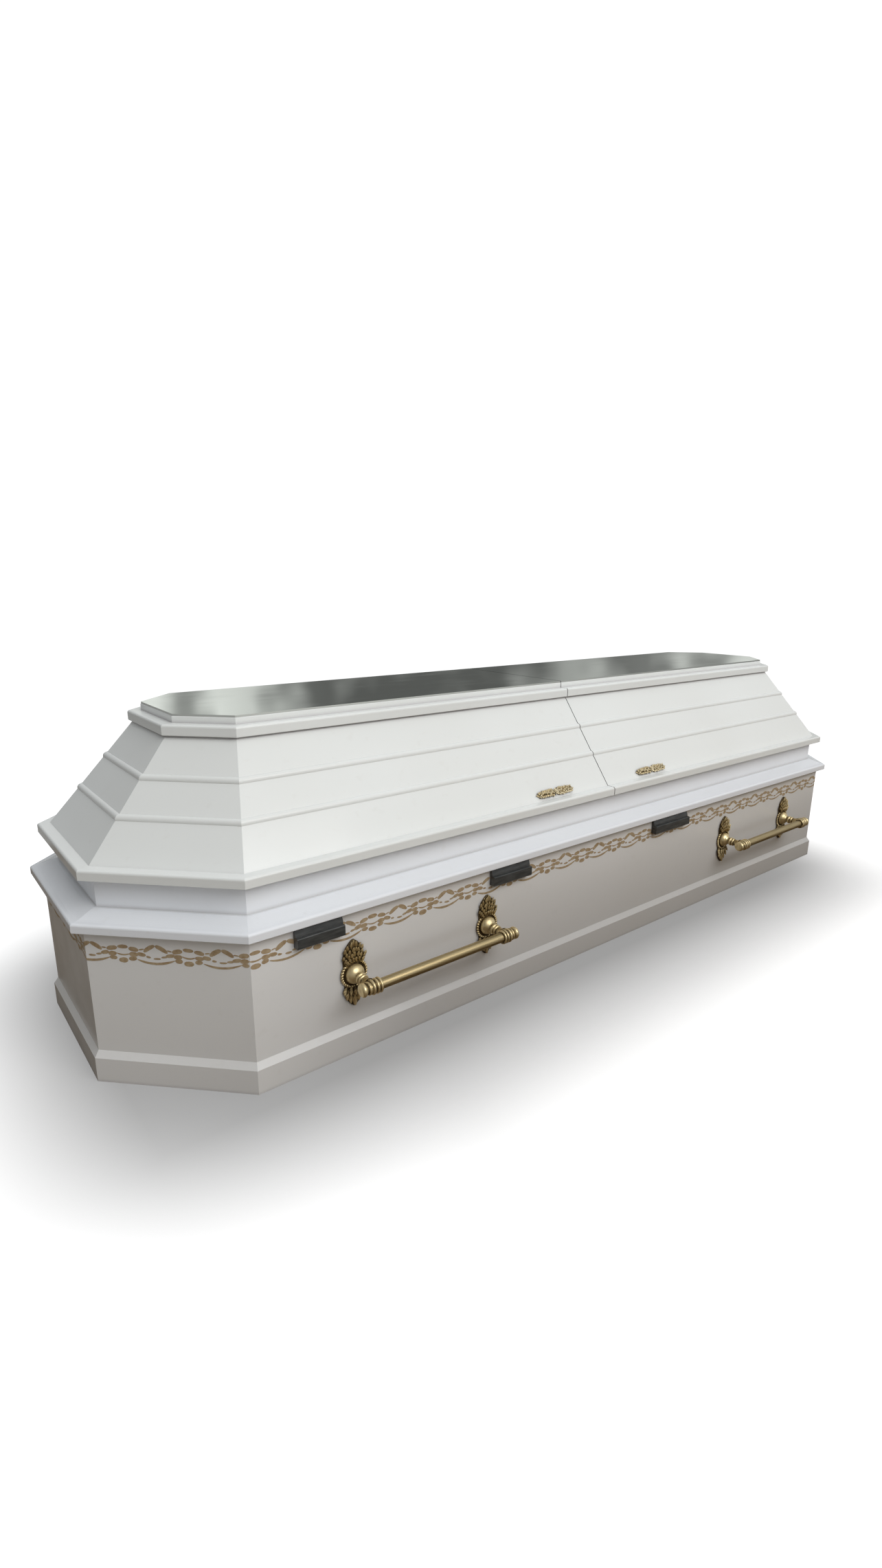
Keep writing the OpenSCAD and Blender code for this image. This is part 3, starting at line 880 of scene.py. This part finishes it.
def spray_relief():
    """Crowded leaves, buds and berries about a flower, in X and Y with the front towards +Z."""
    build = Build()
    hand = random.Random(SPRAY_SEED)
    half = SPRAY_L / 2
    for i in range(14):
        a = 2 * math.pi * i / 14
        ball(build, (0.7 * half * math.cos(a), 0.2 * SPRAY_W * math.sin(a), 0.6), 2.2, flat=0.7)
    for side in (-1, 1):
        for i in range(8):
            x = side * (3.5 + i * (half - 14) / 7.5)
            taper = 1 - 0.3 * (i / 7) ** 2
            along = moved(x, hand.uniform(-1.2, 1.2), 1.8) @ turned(-side * (90 + hand.uniform(-16, 16)))
            leaf(build, 8.4, 7.0 * taper, 3.6, 1.8, along @ turned(8, "X"), full=1.2)
            for lean in (-1, 1):
                angle = -side * (90 - lean * hand.uniform(38, 56))
                place = moved(x, lean * 0.8, 0.4 + hand.uniform(0, 0.9)) @ turned(angle) @ turned(9, "X")
                leaf(build, 10.8 * taper, 5.8, 3.2, 2.0, place, swing=hand.uniform(-0.8, 0.8), full=1.1)
            berry = (x + side * 2.4, hand.choice((-1, 1)) * hand.uniform(1.6, 3.4), 4.2)
            ball(build, berry, hand.uniform(1.2, 1.7), around=8)
        for lean in (-18, 0, 18):
            place = moved(side * (half - 15.5), 0, 0.8) @ turned(-side * 90 + lean)
            leaf(build, 14.5 if lean == 0 else 11, 5.2, 2.4, 1.2, place)
    for radius, count, start, lift in ((7.8, 7, 0, 2.4), (5.4, 6, 24, 3.8)):
        for i in range(count):
            place = moved(0, 0, lift) @ turned(start + 360 * i / count) @ turned(14, "X")
            leaf(build, radius, 5.4, 2.0, 1.0, place, lobes=1)
    ball(build, (0, 0, 5.6), 2.1)
    return build


def add_sprays(material):
    relief = spray_relief()
    lean = math.degrees(math.atan2(SLOPE_H, SIDE_LEAN))
    up_slope = SPRAY_LIFT / SLOPE_H
    for lid in ("head", "foot"):
        low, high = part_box(f"{lid}_lid_ornament")
        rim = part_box(f"{lid}_lid_rim_front")
        foot_y = rim[0].y / MM + LEDGE_W
        place = moved((low.x + high.x) / 2 / MM, foot_y + up_slope * SIDE_LEAN, rim[1].z / MM + SPRAY_LIFT)
        build = Build()
        build.include(relief, place @ turned(lean, "X"))
        make_piece(f"{lid}_lid_spray", build, material, [f"{lid}_lid_ornament"])


# ---------------------------------------------------------------- the carried-over nodes


def dress(material, wanted):
    """Gives a material to the CAD nodes whose names are wanted."""
    for name, thing in nodes.items():
        if wanted(name):
            thing.data.materials.clear()
            thing.data.materials.append(material)


def main():
    add_camera()
    add_studio()
    box_white = lacquer("box_lacquer", (0.86, 0.86, 0.855, 1), (0.83, 0.826, 0.81, 1))
    dress(box_white, lambda name: name.startswith(("floor_board", "plinth_moulding", "wall_board")))
    # Painted light: the frame's white is a lighter, bluer copy of the lacquer, standing in for light on the
    # band under the rim
    lit_frame_white = lacquer("frame_lacquer_lit", (0.9, 0.925, 0.96, 1), (0.88, 0.905, 0.945, 1))
    dress(lit_frame_white, lambda name: name.startswith("lid_frame"))
    lid_white = lacquer("lid_lacquer", (0.855, 0.875, 0.86, 1), (0.825, 0.84, 0.82, 1))
    dress(lid_white, lambda name: name.startswith(("head_lid", "foot_lid")))
    dress(mirror_glass(), lambda name: name.endswith("_mirror"))
    dress(black_metal(), lambda name: name.startswith("closing_catch"))
    dress(bar_brass(), lambda name: name.startswith("handle_bar"))
    painted_border(gold_paint())
    antique = brass(
        "antique_brass", (0.84, 0.69, 0.4, 1), (0.5, 0.38, 0.19, 1), (0.09, 0.064, 0.032, 1), 0.3, 0.46, 0.8
    )
    add_brackets(antique)
    gilt = brass(
        "gilt_brass", (0.94, 0.84, 0.6, 1), (0.74, 0.61, 0.37, 1), (0.2, 0.145, 0.075, 1), 0.28, 0.44, 0.7
    )
    add_sprays(gilt)


main()
